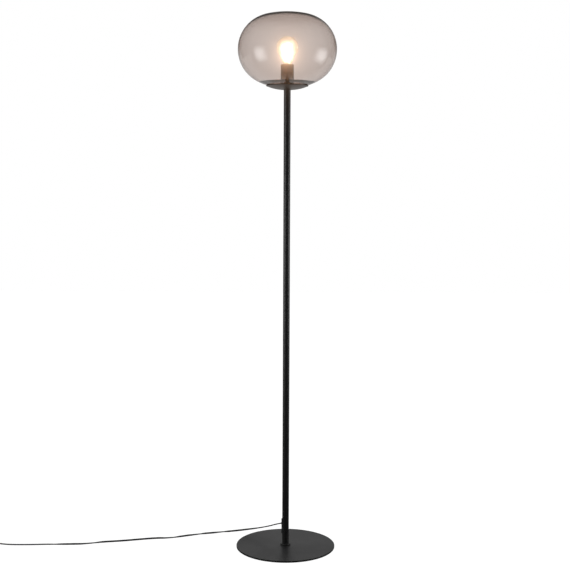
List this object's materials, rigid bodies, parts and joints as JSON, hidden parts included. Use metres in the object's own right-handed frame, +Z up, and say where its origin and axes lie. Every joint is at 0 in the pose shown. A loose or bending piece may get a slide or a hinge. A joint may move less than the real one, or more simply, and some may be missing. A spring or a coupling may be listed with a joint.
{
  "type": "globe floor lamp",
  "caption": "Floor lamp with a wide smoked glass globe on a shallow dish, a slim sectional tube pole, a round flat steel foot, and a mains cord with a foot switch and a flat plug.",
  "frame": {"origin": "on the floor, on the axis of the pole", "axes": "+Z up along the pole; the pictured front faces -Y; the cord leaves the pole towards -X and +Y"},
  "size_m": [1.3012, 0.28, 1.5],
  "materials": {
    "black_powder_coat": "satin powder coat",
    "black_metal": "gloss black lacquer",
    "zinc_steel": "zinc plated",
    "brass": "plain",
    "nickel_brass": "nickel plated",
    "black_plastic": "fine grain",
    "white_plastic": "plain",
    "ceramic": "glazed",
    "black_foam": "soft foam",
    "black_rubber": "matte",
    "smoked_glass": "clear, smoked",
    "clear_glass": "clear",
    "black_glass": "opaque",
    "filament": "phosphor coated",
    "bulb_wire": "bright",
    "cord_pvc": "smooth, flexible",
    "tie": "plain",
    "brown_pvc": "smooth",
    "blue_pvc": "smooth"
  },
  "bodies": {
    "stand": {"base_pads": "black_foam", "base_plate": "black_powder_coat", "base_screw": "zinc_steel", "cable_outlet": "black_plastic", "centre_contact": "brass", "coil_tie": "tie", "cord_coil": "cord_pvc", "cord_grip": "black_plastic", "dish_spacer": "zinc_steel", "foot_collar": "black_plastic", "foot_insert": "zinc_steel", "globe_locator": "black_metal", "globe_springs": "zinc_steel", "holder_dish": "black_powder_coat", "inner_cord": "cord_pvc", "joint_socket_1": "zinc_steel", "joint_socket_2": "zinc_steel", "joint_socket_3": "zinc_steel", "joint_stud_1": "zinc_steel", "joint_stud_2": "zinc_steel", "joint_stud_3": "zinc_steel", "lampholder_base": "black_plastic", "lampholder_core": "ceramic", "lampholder_screws": "zinc_steel", "lampholder_sleeve": "black_metal", "lead_live": "brown_pvc", "lead_neutral": "blue_pvc", "lock_nut": "zinc_steel", "lock_washer": "zinc_steel", "mains_cord": "cord_pvc", "outlet_screw": "black_metal", "plug_body": "black_plastic", "plug_cord": "cord_pvc", "plug_pins": "nickel_brass", "pole_1": "black_powder_coat", "pole_2": "black_powder_coat", "pole_3": "black_powder_coat", "pole_4": "black_powder_coat", "rim_gasket": "black_rubber", "screw_shell": "brass", "switch_bottom": "black_plastic", "switch_carrier": "white_plastic", "switch_contacts": "brass", "switch_cord": "cord_pvc", "switch_cord_ends": "cord_pvc", "switch_cover": "black_plastic", "switch_screws": "zinc_steel", "switch_spring": "zinc_steel", "threaded_tube": "zinc_steel", "top_insert": "zinc_steel"},
    "globe": {"globe_glass": "smoked_glass"},
    "bulb": {"bulb_cap": "nickel_brass", "bulb_envelope": "clear_glass", "bulb_filaments": "filament", "bulb_insulator": "black_glass", "bulb_stem": "clear_glass", "bulb_tip": "brass", "bulb_wires": "bulb_wire"},
    "button": {"switch_button": "black_plastic"},
    "rotor": {"switch_rotor": "white_plastic"}
  },
  "joints": [
    {"name": "globe_lift", "type": "slide", "parent": "stand", "child": "globe", "axis": [0, 0, 1], "range_m": [0, 0.17]},
    {"name": "bulb_unscrew", "type": "slide", "parent": "stand", "child": "bulb", "axis": [0, 0, 1], "range_m": [0, 0.03]},
    {"name": "button_press", "type": "slide", "parent": "stand", "child": "button", "axis": [0, 0, 1], "range_m": [-0.003, 0], "stiffness_N_per_m": 600, "springref_m": 0.004, "deforming": ["switch_spring"]},
    {"name": "rotor_turn", "type": "hinge", "parent": "stand", "child": "rotor", "pos_m": [-0.906, 0.004, 0.0065], "axis": [0, 0, 1], "range_deg": [-22.5, 0]}
  ],
  "couplings": [
    {"joint": "rotor_turn", "follows": "button_press", "rad_per_m": 130.9}
  ]
}
